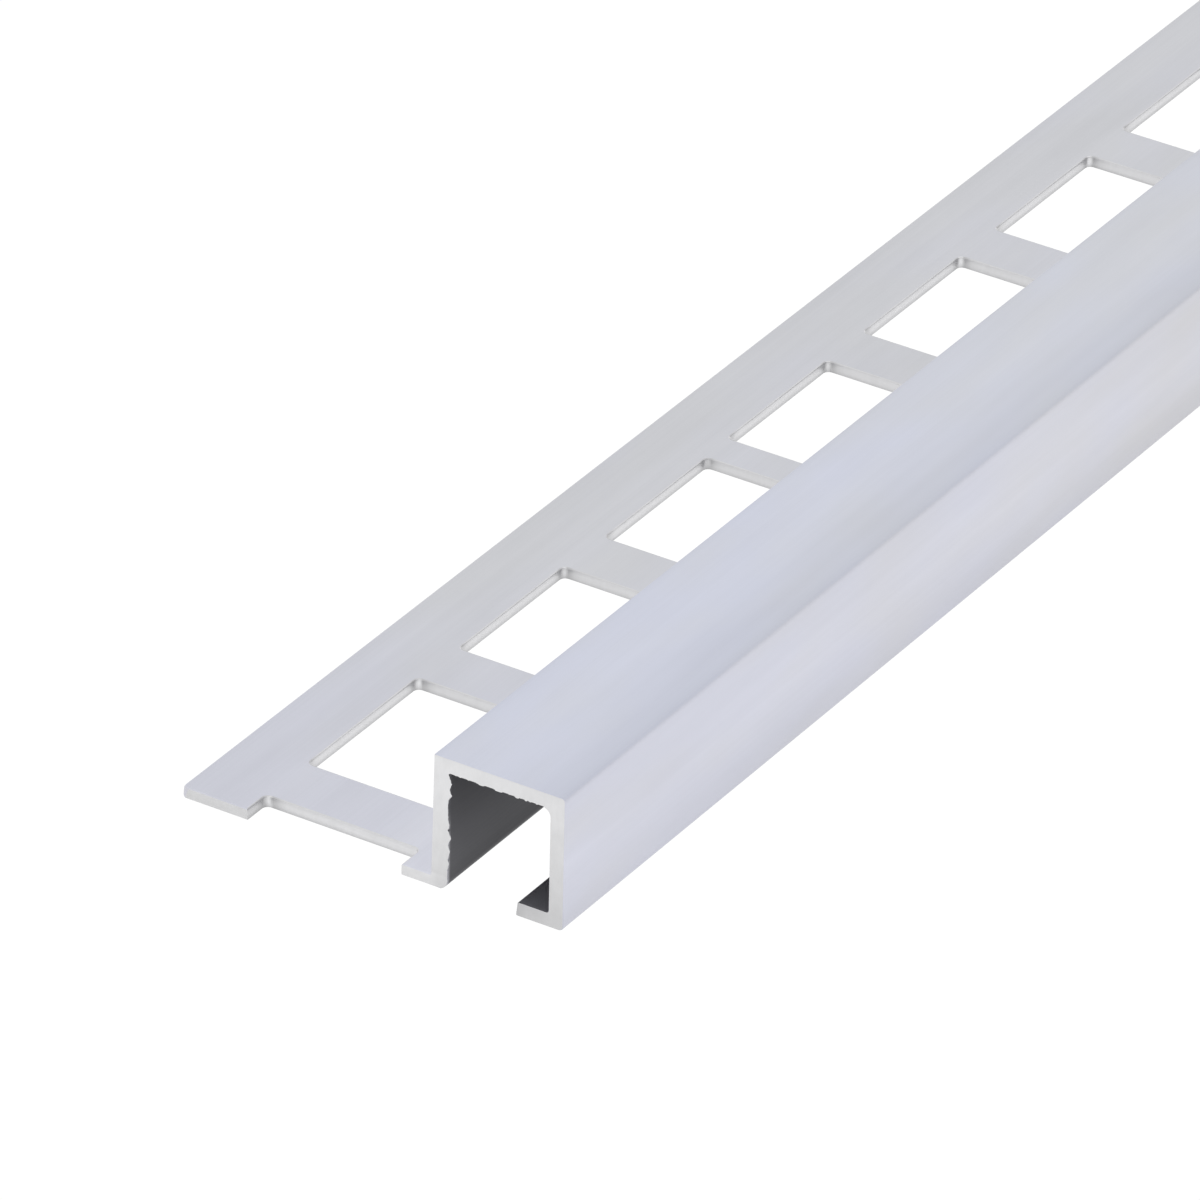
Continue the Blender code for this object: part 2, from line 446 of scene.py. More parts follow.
# Tones up the walls that lie across the bar and up those along it, and their shares at distances from an
# opening's corner. Up each wall the burnished band is paler and the break-out below it darker; the walls
# along the bar are painted paler than those across it, as painted light.
CROSSWISE_TONES = [
    (0, 0.52), (0.12, 0.58), (0.22, 0.64), (0.36, 0.685), (0.52, 0.69), (0.68, 0.67), (0.8, 0.655),
    (1, 0.65),
]
LENGTHWISE_TONES = [
    (0, 0.52), (0.12, 0.58), (0.22, 0.65), (0.38, 0.73), (0.50, 0.75), (0.62, 0.73), (0.76, 0.70), (1, 0.69),
]
# Round a corner: a painted highlight at its middle, with painted shade either side.
CORNER_PAINTED_HIGHLIGHT_AND_SHADE = [(0, 1.10), (0.11, 1.07), (0.25, 0.81), (0.48, 0.82), (0.85, 0.95), (1.3, 1.0), (2.0, 1.0)]
# The sideways part of the normal at which a wall lies across the bar and along it.
CROSSWISE_TO_LENGTHWISE = (0.1, 0.5)
# Only the corners on the row's outer side, past its middle, get the painted highlight and shade.
TO_OUTER_SIDE = (punch["Row middle"], punch["Row middle"] + 1.0 * MM)
# The walls along the bar are darker at the near cut: how far from it that begins and is full, and how much.
CUT_REACH = (2.6 * MM, 1.2 * MM)
CUT_DARKENING = 0.17


def strip_feed(tree, given):
    """How far the strip is fed on from one opening to the next, and how much less between groups."""
    pitch = maths(tree, "ADD", given["Opening length"], given["Bar"])
    return pitch, maths(tree, "SUBTRACT", given["Bar"], given["Group bar"])


def punched_corners_group():
    """How far each point lies from the middle of the nearest corner of an opening."""
    inputs = {"Position": PLACE} | {name: NUMBER for name in punch}
    tree, given, result = new_group("punched_corners", "ShaderNodeTree", inputs, {"Distance": NUMBER})
    at = parted(tree, given["Position"])
    pitch, short = strip_feed(tree, given)
    group = maths(tree, "SUBTRACT", maths(tree, "MULTIPLY", pitch, given["In group"]), short)
    missing = maths(tree, "SUBTRACT", given["In group"], given["Left in first"])
    # The row is read from the middle of a group's bar, so that both sides of an opening fall in one step.
    lead = maths(tree, "MULTIPLY", given["Group bar"], 0.5)
    along = maths(tree, "SUBTRACT", at["X"], given["First opening"])
    along = chained(tree, "ADD", along, maths(tree, "MULTIPLY", missing, pitch), lead)
    in_step = maths(tree, "FLOORED_MODULO", maths(tree, "FLOORED_MODULO", along, group), pitch)
    half_length = maths(tree, "MULTIPLY", given["Opening length"], 0.5)
    half_width = maths(tree, "MULTIPLY", given["Opening width"], 0.5)
    x = maths(tree, "ABSOLUTE", chained(tree, "SUBTRACT", in_step, lead, half_length))
    y = maths(tree, "ABSOLUTE", maths(tree, "SUBTRACT", at["Y"], given["Row middle"]))
    # The middle of a round corner's arc lies this far in from both sides.
    cut_off = maths(tree, "MULTIPLY", given["Opening radius"], 1.0 - math.sqrt(0.5))
    x = maths(tree, "SUBTRACT", maths(tree, "ADD", x, cut_off), half_length)
    y = maths(tree, "SUBTRACT", maths(tree, "ADD", y, cut_off), half_width)
    apart = add_node(tree, "ShaderNodeCombineXYZ", {"X": x, "Y": y}).outputs[0]
    wire(tree, result, {"Distance": vector_maths(tree, "LENGTH", apart)})
    return tree


punched_corners = punched_corners_group()


def punched_metal():
    """Metal that the punch has sheared through the flange."""
    material, tree, shader, position = new_metal("punched_face", roughness=0.42)
    grain = placed_group(tree, cut_grain, {"Position": position} | PUNCHED_GRAIN)
    at = parted(tree, position)
    # Painted light: the walls along the bar get their own, paler tones.
    lengthwise = ranged(tree, maths(tree, "ABSOLUTE", facing(tree)["Y"]), *CROSSWISE_TO_LENGTHWISE)
    up_crosswise = ramped(tree, at["Z"], CROSSWISE_TONES)
    up_lengthwise = ramped(tree, at["Z"], LENGTHWISE_TONES)
    upwards = mixed(tree, lengthwise, up_crosswise, up_lengthwise, "FLOAT")
    # Painted highlight and shade round the corners on the row's outer side.
    distance = placed_group(tree, punched_corners, {"Position": position} | punch)["Distance"]
    on_outer_side = ranged(tree, at["Y"], *TO_OUTER_SIDE)
    painted_corner_light = mixed(tree, on_outer_side, 1.0, ramped(tree, distance, CORNER_PAINTED_HIGHLIGHT_AND_SHADE), "FLOAT")
    by_cut = ranged(tree, maths(tree, "SUBTRACT", at["X"], near.x), *CUT_REACH, 0.0, CUT_DARKENING)
    darker_by_cut = maths(tree, "SUBTRACT", 1.0, maths(tree, "MULTIPLY", by_cut, lengthwise))
    coloured(tree, shader, PUNCHED_TINT, upwards, painted_corner_light, darker_by_cut, grain["Shade"])
    raised(tree, shader, grain["Mottle"])
    return material


punched_face = punched_metal()

# Tile edge trim
# One bar of extruded aluminium. The die gives its section, a saw cuts it to length and leaves a torn burr
# round the channel's hollow, and a punch strikes the openings of the flange in groups of ten.
GEOMETRY = "NodeSocketGeometry"
FINISH = "NodeSocketMaterial"
# The tile wall's foot lies 0.12 mm outside the CAD model's face, so the flange in front of it is narrower
# than the 19.5 mm that its openings are set out on. Both leans are from foot to top.
section = {
    "Width": far.y - near.y,
    "Height": far.z - near.z,
    "Flange width": 19.38 * MM,
    "Flange": 0.85 * MM,
    "Tile wall": 1.27 * MM,
    "Tile wall lean": 0.14 * MM,
    "Top": 1.15 * MM,
    "Outer wall": 1.1 * MM,
    "Lip": 1.05 * MM,
    "Lip reach": 3.5 * MM,
    "Lip lean": 0.13 * MM,
}
saw = {
    "Near end": near.x,
    "Far end": far.x,
    "Tile wall burr": 0.14 * MM,
    "Top burr": 0.09 * MM,
    "Edge break": 0.05 * MM,
    "Flange corner": 0.5 * MM,
}
mean_pitch = punch["Opening length"] + punch["Bar"] - (punch["Bar"] - punch["Group bar"]) / punch["In group"]
openings = {"Openings": math.ceil((far.x - near.x) / mean_pitch) + 1}
finishes = {
    "Show face": show_face,
    "Mill face": mill_face,
    "Channel inside painted shade": channel_inside_painted_shade,
    "Sawn face": sawn_face,
    "Punched face": punched_face,
}
# How many points draw the arc of a round corner.
ARC_POINTS = 6
# The round foot of the tile wall: its radius in millimetres, a height just above it, and a distance into the
# wall just short of where it meets the underside.
FOOT_RADIUS = 0.75
FOOT_TOP = 0.76 * MM
FOOT_REACH = 0.7 * MM
# The parts of a face's normal by which it is told: along the bar for a cut, and across it for a face towards
# the tiles or the hollow.
FACES_END = 0.9
FACES_TILES = 0.7
FACES_HOLLOW = -0.25
# How deep in from each cut the rings of points lie, in millimetres, and how deep in the saw breaks the outer
# edge and tears the hollow's.
RING_DEPTHS = [0.0, 0.03, 0.07, 0.12, 0.18, 0.26, 0.36, 0.5, 0.7, 1.0]
BREAK_DEPTH = 0.07 * MM
TORN_DEPTH = 0.3 * MM
# How far across the flange its corner's wear reaches, in radii of the corner, and the share of it underneath.
WEAR_REACH = 1.5
WEAR_UNDERNEATH = 0.55
# The hollow's outline is divided at this pitch, and from this height up.
BURR_PITCH = 0.06 * MM
BURR_FROM = 0.5 * MM
# The flakes of burr on the tile wall, from the top down: where each starts, its tip and its end lie up the
# wall, and how far the tip reaches, all in millimetres. At the far end they lie the other way up, and are
# measured down from FLAKES_TURNED.
FLAKES = [
    (8.8, 8.15, 7.45, 0.25), (7.7, 7.25, 6.85, 0.28), (5.5, 4.9, 4.6, 0.11), (4.6, 4.08, 3.5, 0.26),
    (3.65, 3.05, 2.3, 0.16), (2.45, 2.05, 1.6, 0.11),
]
FLAKES_TURNED = 9.6 * MM
# How often the burr changes in a metre: the fine teeth of the flakes, and the steps under the top.
FINE_TEETH = (900.0, 7000.0, 7000.0)
TOP_STEPS = (0.0, 1500.0, 0.0)
# The values of that noise between which a step under the top rises, and its shares of the top's burr before
# and after.
STEP_RISE = (0.42, 0.52)
STEP_SHARES = (-0.3, 0.7)
# The punch's sides: how far out and how high the break-out reaches, how high the plain wall is sure to reach,
# how far out and how deep the roll-over reaches, and how far the punch runs past both faces.
BREAK_OUT, BREAK_OUT_HEIGHT = 0.02 * MM, 0.14 * MM
PLAIN_HEIGHT = 0.4 * MM
ROLL_REACH, ROLL_DEPTH = 0.10 * MM, 0.12 * MM
OVERRUN = 0.5 * MM
# How far the first openings lie off their places, along and across in millimetres, as the strip wandered
# under the punch, and their lengths as shares of the usual one. The first, which the saw cut through, has
# sprung open by the share SPRUNG of its width.
WANDERING = [
    (-0.03, 0.135, 1.0), (0.05, 0.13, 0.998), (-0.04, -0.08, 0.984), (-0.065, -0.28, 0.989),
    (-0.09, -0.07, 0.992), (-0.04, -0.05, 1.0), (-0.03, -0.05, 1.0), (-0.04, -0.02, 1.0), (0.0, 0.0, 1.0),
]
SPRUNG = 0.0127
# Edges that turn by more than this stay crisp.
CRISP_FROM = math.radians(35.0)


def listed(tree, values):
    """A value for each point in turn: the first for point 0, and so on, and the last for all the others."""
    index = add_node(tree, "GeometryNodeInputIndex").outputs[0]
    held = maths(tree, "MINIMUM", index, len(values) - 1)
    switch = add_node(tree, "GeometryNodeIndexSwitch", {"Index": held}, data_type="FLOAT")
    for _ in values[2:]:
        switch.index_switch_items.new()
    wire(tree, switch, dict(enumerate(values, 1)))
    return switch.outputs[0]


def point_at(tree, x=0.0, y=0.0, z=0.0):
    return add_node(tree, "ShaderNodeCombineXYZ", {"X": x, "Y": y, "Z": z}).outputs[0]


def here(tree):
    return add_node(tree, "GeometryNodeInputPosition").outputs[0]


def polyline(tree, count, positions, cyclic=False):
    """A curve through points whose positions a field gives."""
    row = add_node(tree, "GeometryNodeMeshLine", {"Count": count}).outputs[0]
    placed = add_node(tree, "GeometryNodeSetPosition", {"Geometry": row, "Position": positions}).outputs[0]
    drawn = add_node(tree, "GeometryNodeMeshToCurve", {"Mesh": placed}).outputs[0]
    return add_node(tree, "GeometryNodeSetSplineCyclic", {"Geometry": drawn, "Cyclic": cyclic}).outputs[0]


def rounded(tree, outline, radius):
    """An outline with its corners drawn as arcs."""
    wired = {"Curve": outline, "Count": ARC_POINTS, "Radius": radius}
    return add_node(tree, "GeometryNodeFilletCurve", wired, mode="POLY").outputs[0]


def swept(tree, path, outline):
    wired = {"Curve": path, "Profile Curve": outline, "Fill Caps": True}
    return add_node(tree, "GeometryNodeCurveToMesh", wired).outputs[0]


def moved(tree, geometry, offset):
    return add_node(tree, "GeometryNodeSetPosition", {"Geometry": geometry, "Offset": offset}).outputs[0]


def over(tree, first, second):
    wired = {0: first, 1: second}
    return add_node(tree, "FunctionNodeCompare", wired, operation="GREATER_THAN").outputs[0]


def joined(tree, operation, *conditions):
    """True where every condition is, for AND, or where any is, for OR."""
    result = conditions[0]
    for condition in conditions[1:]:
        wired = {0: result, 1: condition}
        result = add_node(tree, "FunctionNodeBooleanMath", wired, operation=operation).outputs[0]
    return result


def finished(tree, geometry, finish, where=True):
    wired = {"Geometry": geometry, "Material": finish, "Selection": where}
    return add_node(tree, "GeometryNodeSetMaterial", wired).outputs[0]


def section_lines(tree, given):
    """The lines that bound the section's parts, across and up."""
    edge = maths(tree, "MULTIPLY", given["Width"], 0.5)
    face = maths(tree, "MULTIPLY", given["Width"], -0.5)
    tile_face = maths(tree, "SUBTRACT", edge, given["Flange width"])
    return {
        "edge": edge,
        "face": face,
        "tile_face": tile_face,
        "tile_face_top": maths(tree, "SUBTRACT", tile_face, given["Tile wall lean"]),
        "tile_inside": maths(tree, "SUBTRACT", tile_face, given["Tile wall"]),
        "outer_inside": maths(tree, "ADD", face, given["Outer wall"]),
        "lip_end": maths(tree, "ADD", face, given["Lip reach"]),
        "lip_foot": chained(tree, "ADD", face, given["Lip reach"], given["Lip lean"]),
        "top_inside": maths(tree, "SUBTRACT", given["Height"], given["Top"]),
    }


def die_section_group():
    """The die's outline, its corners rounded, as a closed curve that a sweep along +X sets upright."""
    inputs = {size: NUMBER for size in section} | {"Burr pitch": NUMBER}
    tree, given, result = new_group("die_section", "GeometryNodeTree", inputs, {"Outline": GEOMETRY})
    line = section_lines(tree, given)
    # Each corner's place across and up, and its radius in millimetres.
    corners = [
        (line["edge"], 0.0, 0.25),
        (line["edge"], given["Flange"], 0.25),
        (line["tile_face"], given["Flange"], 0.08),
        (line["tile_face_top"], given["Height"], 0.14),
        (line["face"], given["Height"], 0.3),
        (line["face"], 0.0, 0.4),
        (line["lip_foot"], 0.0, 0.12),
        (line["lip_end"], given["Lip"], 0.15),
        (line["outer_inside"], given["Lip"], 0.2),
        (line["outer_inside"], line["top_inside"], 0.6),
        (line["tile_inside"], line["top_inside"], 0.04),
        (line["tile_inside"], 0.0, FOOT_RADIUS),
    ]
    across = listed(tree, [corner[0] for corner in corners])
    up = listed(tree, [corner[1] for corner in corners])
    radius = listed(tree, [corner[2] * MM for corner in corners])
    square = polyline(tree, len(corners), point_at(tree, across, up), cyclic=True)
    outline = rounded(tree, square, radius)
    # Only the inside of the channel is torn by the saw, so only its outline is finely divided.
    at = parted(tree, here(tree))
    slack = 0.01 * MM
    inside = joined(
        tree,
        "AND",
        over(tree, at["X"], maths(tree, "SUBTRACT", line["outer_inside"], slack)),
        over(tree, maths(tree, "ADD", line["tile_inside"], slack), at["X"]),
        over(tree, at["Y"], BURR_FROM),
    )
    following = add_node(tree, "GeometryNodeOffsetPointInCurve", {"Offset": 1}).outputs["Point Index"]
    wired = {"Index": following, "Value": here(tree)}
    there = add_node(tree, "GeometryNodeFieldAtIndex", wired, data_type="FLOAT_VECTOR").outputs[0]
    step = vector_maths(tree, "DISTANCE", here(tree), there)
    cuts = maths(tree, "FLOOR", maths(tree, "DIVIDE", step, given["Burr pitch"]))
    wired = {"Curve": outline, "Cuts": maths(tree, "MULTIPLY", cuts, inside)}
    divided = add_node(tree, "GeometryNodeSubdivideCurve", wired).outputs[0]
    wired = {"Geometry": divided, "Rotation": (0.0, 0.0, math.pi)}
    upright = add_node(tree, "GeometryNodeTransform", wired).outputs[0]
    wire(tree, result, {"Outline": upright})
    return tree


die_section = die_section_group()


def sawn_bar_group():
    """The extruded bar cut to length, with the saw's burr at both ends, before it is punched."""
    inputs = {size: NUMBER for size in section | saw}
    inputs |= {name: FINISH for name in ("Show face", "Mill face", "Channel inside painted shade", "Sawn face")}
    tree, given, result = new_group("sawn_bar", "GeometryNodeTree", inputs, {"Mesh": GEOMETRY})
    line = section_lines(tree, given)
    values = {size: given[size] for size in section} | {"Burr pitch": BURR_PITCH}
    outline = placed_group(tree, die_section, values, "GeometryNodeGroup")[0]
    along = [maths(tree, "ADD", given["Near end"], depth * MM) for depth in RING_DEPTHS]
    along += [maths(tree, "SUBTRACT", given["Far end"], depth * MM) for depth in reversed(RING_DEPTHS)]
    path = polyline(tree, len(along), point_at(tree, listed(tree, along)))
    bar = swept(tree, path, outline)

    # Finishes, by where each face lies in the section.
    at = parted(tree, here(tree))
    normal = add_node(tree, "GeometryNodeInputNormal").outputs[0]
    turned = parted(tree, normal)
    slack = 0.02 * MM
    past_outer_wall = over(tree, at["Y"], maths(tree, "SUBTRACT", line["outer_inside"], slack))
    before_tile_wall = over(tree, maths(tree, "ADD", line["tile_inside"], slack), at["Y"])
    below_top = over(tree, maths(tree, "ADD", line["top_inside"], slack), at["Z"])
    above_lip = over(tree, at["Z"], maths(tree, "SUBTRACT", given["Lip"], slack))
    past_lip = over(tree, at["Y"], maths(tree, "ADD", line["lip_foot"], slack))
    above_foot = joined(tree, "AND", past_lip, over(tree, at["Z"], slack))
    in_slot = joined(tree, "OR", above_lip, above_foot)
    on_walls = joined(tree, "AND", past_outer_wall, before_tile_wall, below_top, in_slot)
    on_round = over(tree, maths(tree, "ADD", line["tile_inside"], FOOT_REACH), at["Y"])
    below_foot_top = over(tree, FOOT_TOP, at["Z"])
    towards_hollow = over(tree, FACES_HOLLOW, turned["Y"])
    on_foot = joined(tree, "AND", past_lip, on_round, below_foot_top, towards_hollow)
    inside = joined(tree, "OR", on_walls, on_foot)
    on_channel = over(tree, maths(tree, "ADD", line["tile_face"], slack), at["Y"])
    towards_tiles = over(tree, turned["Y"], FACES_TILES)
    on_tile_face = over(tree, at["Y"], maths(tree, "ADD", line["tile_inside"], slack))
    sawn = over(tree, maths(tree, "ABSOLUTE", turned["X"]), FACES_END)
    bar = finished(tree, bar, given["Mill face"])
    bar = finished(tree, bar, given["Show face"], on_channel)
    bar = finished(tree, bar, given["Channel inside painted shade"], inside)
    bar = finished(tree, bar, given["Mill face"], joined(tree, "AND", on_tile_face, towards_tiles))
    bar = finished(tree, bar, given["Sawn face"], sawn)

    # The cut's outer edge is just broken, and the flange's corner worn round, more at its top than
    # underneath.
    depth = from_ends(tree, at["X"], given["Near end"], given["Far end"])
    outside = maths(tree, "SUBTRACT", 1.0, inside)
    across = vector_maths(tree, "NORMALIZE", vector_maths(tree, "MULTIPLY", normal, (0.0, 1.0, 1.0)))
    at_edge = ranged(tree, depth, 0.0, BREAK_DEPTH, -1.0, 0.0, "LINEAR")
    broken = chained(tree, "MULTIPLY", at_edge, given["Edge break"], outside)
    bar = moved(tree, bar, scaled(tree, across, broken))
    corner = given["Flange corner"]
    left = maths(tree, "SUBTRACT", 1.0, maths(tree, "DIVIDE", maths(tree, "MINIMUM", depth, corner), corner))
    arc = maths(tree, "SQRT", maths(tree, "SUBTRACT", 1.0, maths(tree, "MULTIPLY", left, left)))
    inner = maths(tree, "SUBTRACT", line["edge"], maths(tree, "MULTIPLY", corner, WEAR_REACH))
    at_corner = ranged(tree, at["Y"], inner, line["edge"])
    by_height = ranged(tree, at["Z"], 0.0, given["Flange"], WEAR_UNDERNEATH, 1.0)
    worn = chained(tree, "MULTIPLY", maths(tree, "SUBTRACT", arc, 1.0), corner, at_corner, by_height)
    bar = moved(tree, bar, point_at(tree, 0.0, worn))

    # The burr: flakes that the saw has pushed into the channel from the tile wall, and steps under the top.
    # They run out a little way in from the cut.
    far_half = over(tree, at["X"], 0.0)
    height = mixed(tree, far_half, at["Z"], maths(tree, "SUBTRACT", FLAKES_TURNED, at["Z"]), "FLOAT")
    flake = 0.0
    for start, tip, end, reach in FLAKES:
        growing = ranged(tree, height, start * MM, tip * MM, 0.0, reach * MM, "LINEAR")
        shrinking = ranged(tree, height, end * MM, tip * MM, 0.0, reach * MM, "LINEAR")
        flake = maths(tree, "ADD", maths(tree, "MINIMUM", growing, shrinking), flake)
    teeth = maths(tree, "SUBTRACT", noise(tree, here(tree), FINE_TEETH), 0.5)
    flake = maths(tree, "MULTIPLY_ADD", teeth, given["Tile wall burr"], flake)
    torn = ranged(tree, depth, 0.0, TORN_DEPTH, 1.0, 0.0)
    wall_side = maths(tree, "SUBTRACT", line["tile_inside"], slack)
    above_foot_top = over(tree, at["Z"], FOOT_TOP)
    on_wall = joined(tree, "AND", over(tree, at["Y"], wall_side), before_tile_wall, above_foot_top)
    sideways = chained(tree, "MULTIPLY", flake, torn, on_wall, -1.0)
    steps = noise(tree, here(tree), TOP_STEPS, detail=2.0, roughness=0.6)
    bite = maths(tree, "MULTIPLY", ranged(tree, steps, *STEP_RISE, *STEP_SHARES), given["Top burr"])
    near_top = over(tree, at["Z"], maths(tree, "SUBTRACT", line["top_inside"], slack))
    before_wall = over(tree, wall_side, at["Y"])
    on_top = joined(tree, "AND", near_top, below_top, past_outer_wall, before_wall)
    upwards = chained(tree, "MULTIPLY", bite, torn, on_top)
    bar = moved(tree, bar, point_at(tree, 0.0, sideways, upwards))
    wire(tree, result, {"Mesh": bar})
    return tree


sawn_bar = sawn_bar_group()


def punch_rings(thickness, arc_steps=4):
    """How high up the flange each ring of the punch lies, and how far it stands out from the opening."""
    rings = [(-OVERRUN, BREAK_OUT), (0.0, BREAK_OUT), (BREAK_OUT_HEIGHT, 0.0), (PLAIN_HEIGHT, 0.0)]
    for step in range(arc_steps + 1):
        angle = math.pi / 2 * step / arc_steps
        up = thickness - ROLL_DEPTH * (1.0 - math.sin(angle))
        rings.append((up, ROLL_REACH * (1.0 - math.cos(angle))))
    rings.append((thickness + OVERRUN, ROLL_REACH))
    return rings


def flange_punches_group():
    """One punch for each opening, in groups with a narrower bar between them."""
    inputs = {name: COUNT if isinstance(value, int) else NUMBER for name, value in (punch | openings).items()}
    inputs |= {"Punched face": FINISH}
    tree, given, result = new_group("flange_punches", "GeometryNodeTree", inputs, {"Mesh": GEOMETRY})
    rings = punch_rings(section["Flange"])
    path = polyline(tree, len(rings), point_at(tree, z=listed(tree, [ring[0] for ring in rings])))
    wired = {"Geometry": path, "Name": "stand_out", "Value": listed(tree, [ring[1] for ring in rings])}
    kind = {"data_type": "FLOAT", "domain": "POINT"}
    path = add_node(tree, "GeometryNodeStoreNamedAttribute", wired, **kind).outputs[0]
    wired = {"Width": given["Opening length"], "Height": given["Opening width"]}
    square = add_node(tree, "GeometryNodeCurvePrimitiveQuadrilateral", wired, mode="RECTANGLE").outputs[0]
    one_punch = swept(tree, path, rounded(tree, square, given["Opening radius"]))

    # Each ring stands out square to the opening's sides and round its corners.
    straight = [
        maths(tree, "SUBTRACT", maths(tree, "MULTIPLY", given[side], 0.5), given["Opening radius"])
        for side in ("Opening length", "Opening width")
    ]
    half = point_at(tree, *straight, 1.0)
    held = vector_maths(tree, "MAXIMUM", here(tree), scaled(tree, half, -1.0))
    held = vector_maths(tree, "MINIMUM", held, half)
    outward = vector_maths(tree, "NORMALIZE", vector_maths(tree, "SUBTRACT", here(tree), held))
    wired = {"Name": "stand_out"}
    stand_out = add_node(tree, "GeometryNodeInputNamedAttribute", wired, data_type="FLOAT").outputs[0]
    one_punch = moved(tree, one_punch, scaled(tree, outward, stand_out))
    one_punch = finished(tree, one_punch, given["Punched face"])

    # Where each opening's middle lies. Each group follows the last with a narrower bar.
    index = add_node(tree, "GeometryNodeInputIndex").outputs[0]
    pitch, short = strip_feed(tree, given)
    missing = maths(tree, "SUBTRACT", given["In group"], given["Left in first"])
    counted = maths(tree, "ADD", maths(tree, "ADD", index, missing), 0.5)
    groups = maths(tree, "FLOOR", maths(tree, "DIVIDE", counted, given["In group"]))
    start = maths(tree, "MULTIPLY_ADD", index, pitch, given["First opening"])
    start = maths(tree, "SUBTRACT", start, maths(tree, "MULTIPLY", groups, short))
    middle_x = maths(tree, "MULTIPLY_ADD", given["Opening length"], 0.5, start)
    off_along = listed(tree, [along * MM for along, _, _ in WANDERING])
    off_across = listed(tree, [across * MM for _, across, _ in WANDERING])
    middle_x = maths(tree, "ADD", middle_x, off_along)
    middle_y = maths(tree, "ADD", given["Row middle"], off_across)
    long = listed(tree, [share for _, _, share in WANDERING])
    wide = maths(tree, "ADD", 1.0, maths(tree, "MULTIPLY", over(tree, 0.5, index), SPRUNG))
    row = add_node(tree, "GeometryNodeMeshLine", {"Count": given["Openings"]}).outputs[0]
    wired = {"Geometry": row, "Position": point_at(tree, middle_x, middle_y)}
    row = add_node(tree, "GeometryNodeSetPosition", wired).outputs[0]
    wired = {"Points": row, "Instance": one_punch, "Scale": point_at(tree, long, wide, 1.0)}
    struck = add_node(tree, "GeometryNodeInstanceOnPoints", wired).outputs[0]
    punches = add_node(tree, "GeometryNodeRealizeInstances", {"Geometry": struck}).outputs[0]
    wire(tree, result, {"Mesh": punches})
    return tree


flange_punches = flange_punches_group()
sizes = section | saw | punch | openings | finishes


def punched_trim_tree():
    """The whole trim: the sawn bar, less its punches, with smooth curves and crisp edges."""
    kinds = {int: COUNT, float: NUMBER}
    inputs = {name: kinds.get(type(value), FINISH) for name, value in sizes.items()}
    tree, given, result = new_group("punched_trim", "GeometryNodeTree", inputs, {"Mesh": GEOMETRY})
    bar_inputs = [*section, *saw, *(name for name in finishes if name != "Punched face")]
    punch_inputs = [*punch, *openings, "Punched face"]
    bar, punches = (
        placed_group(tree, group, {name: given[name] for name in names}, "GeometryNodeGroup")[0]
        for group, names in ((sawn_bar, bar_inputs), (flange_punches, punch_inputs))
    )
    wired = {"Mesh 1": bar, "Mesh 2": punches}
    less = {"operation": "DIFFERENCE", "solver": "MANIFOLD"}
    cut = add_node(tree, "GeometryNodeMeshBoolean", wired, **less).outputs[0]
    single = add_node(tree, "GeometryNodeRealizeInstances", {"Geometry": cut}).outputs[0]
    wired = {"Geometry": single, "Shade Smooth": True}
    smooth = add_node(tree, "GeometryNodeSetShadeSmooth", wired).outputs[0]
    angle = add_node(tree, "GeometryNodeInputMeshEdgeAngle").outputs["Unsigned Angle"]
    wired = {"Geometry": smooth, "Selection": over(tree, angle, CRISP_FROM), "Shade Smooth": False}
    crisp = add_node(tree, "GeometryNodeSetShadeSmooth", wired, domain="EDGE").outputs[0]
    wire(tree, result, {"Mesh": crisp})
    return tree


def built(name, tree, values):
    """A plain mesh object that a Geometry Nodes tree has made from these values."""
    holder = bpy.data.objects.new(name + "_nodes", bpy.data.meshes.new(name + "_nodes"))
    bpy.context.scene.collection.objects.link(holder)
    modifier = holder.modifiers.new("nodes", "NODES")
    modifier.node_group = tree
    for socket in tree.interface.items_tree:
        if socket.in_out == "INPUT" and socket.name in values:
            modifier[socket.identifier] = values[socket.name]
    weighted = holder.modifiers.new("even_faces", "WEIGHTED_NORMAL")
    weighted.keep_sharp = True
    graph = bpy.context.evaluated_depsgraph_get()
    mesh = bpy.data.meshes.new_from_object(holder.evaluated_get(graph))
    bpy.data.objects.remove(holder, do_unlink=True)
    mesh.name = name
    piece = bpy.data.objects.new(name, mesh)
    bpy.context.scene.collection.objects.link(piece)
    return piece


trim = built("punched_trim", punched_trim_tree(), sizes)
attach(trim, "root")
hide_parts("edge_trim")

# Floor
# A plain white table, lit so evenly that it shows no shadow. Seen from below it is clear.
FLOOR_REACH = 30.0
FLOOR_DROP = 0.3 * MM
FLOOR_GLOW = 1.03
WHITE = (1.0, 1.0, 1.0, 1.0)

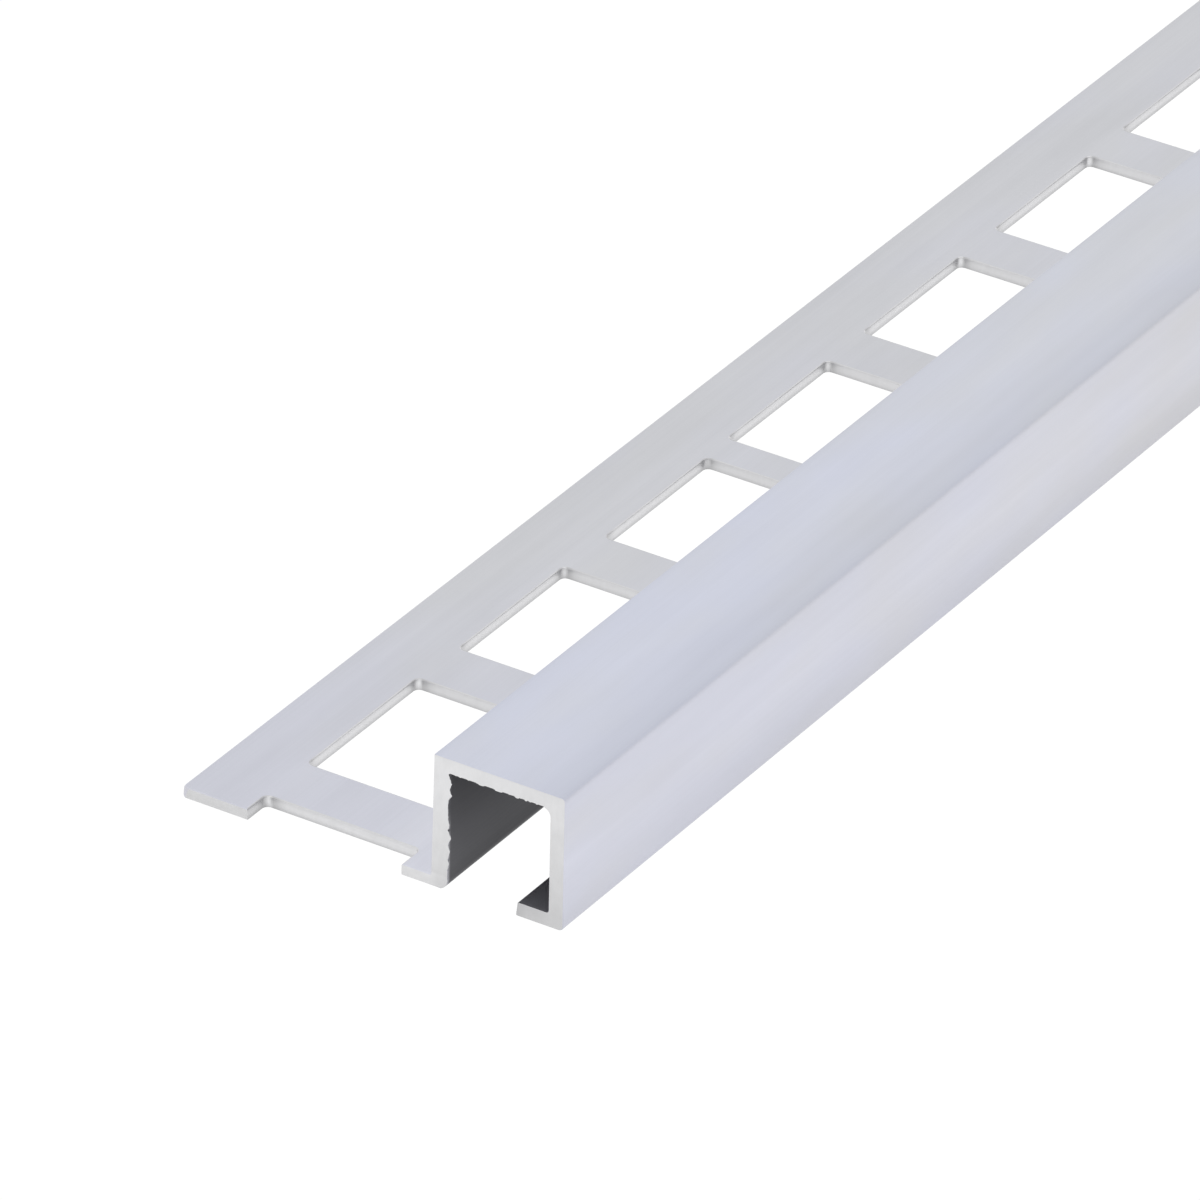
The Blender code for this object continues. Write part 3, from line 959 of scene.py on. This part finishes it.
floor_mesh = bpy.data.meshes.new("floor")
sides = ((-1, -1), (1, -1), (1, 1), (-1, 1))
ground = [(x * FLOOR_REACH, y * FLOOR_REACH, near.z - FLOOR_DROP) for x, y in sides]
floor_mesh.from_pydata(ground, [], [(0, 1, 2, 3)])
floor = bpy.data.objects.new("floor", floor_mesh)
bpy.context.scene.collection.objects.link(floor)
white = bpy.data.materials.new("white_table")
white.use_nodes = True
white_tree = white.node_tree
white_tree.nodes.clear()
glow = add_node(white_tree, "ShaderNodeEmission", {"Color": WHITE, "Strength": FLOOR_GLOW})
clear = add_node(white_tree, "ShaderNodeBsdfTransparent")
behind = add_node(white_tree, "ShaderNodeNewGeometry").outputs["Backfacing"]
either = add_node(white_tree, "ShaderNodeMixShader", {0: behind, 1: glow.outputs[0], 2: clear.outputs[0]})
add_node(white_tree, "ShaderNodeOutputMaterial", {"Surface": either.outputs[0]})
floor_mesh.materials.append(white)

# Light
# A white tent all round, lit evenly from every side.
world = bpy.data.worlds.new("tent")
bpy.context.scene.world = world
world.use_nodes = True
tent = world.node_tree
wire(tent, tent.nodes["Background"], {"Color": WHITE, "Strength": 1.0})
bpy.context.scene.view_settings.view_transform = "Standard"

# Camera
# A long lens from above the near end, with the trim running away up to the right.
camera_data = bpy.data.cameras.new("camera")
camera_data.lens = 371.31
camera_data.sensor_width = 36.0
camera_data.clip_start = 0.05
camera_data.clip_end = 100.0
camera = bpy.data.objects.new("camera", camera_data)
bpy.context.scene.collection.objects.link(camera)
azimuth, elevation, roll = math.radians(301.804), math.radians(30.689), math.radians(1.208)
target = Vector((near.x + 44.988 * MM, 10.882 * MM, -5.908 * MM))
distance = 840.0 * MM
level_back = Vector((math.sin(azimuth), -math.cos(azimuth), 0.0)) * math.cos(elevation)
back = level_back + Vector((0.0, 0.0, math.sin(elevation)))
camera.matrix_world = (
    Matrix.Translation(target + back * distance)
    @ (-back).to_track_quat("-Z", "Y").to_matrix().to_4x4()
    @ Matrix.Rotation(roll, 4, "Z")
)
bpy.context.scene.camera = camera

bpy.context.view_layer.update()
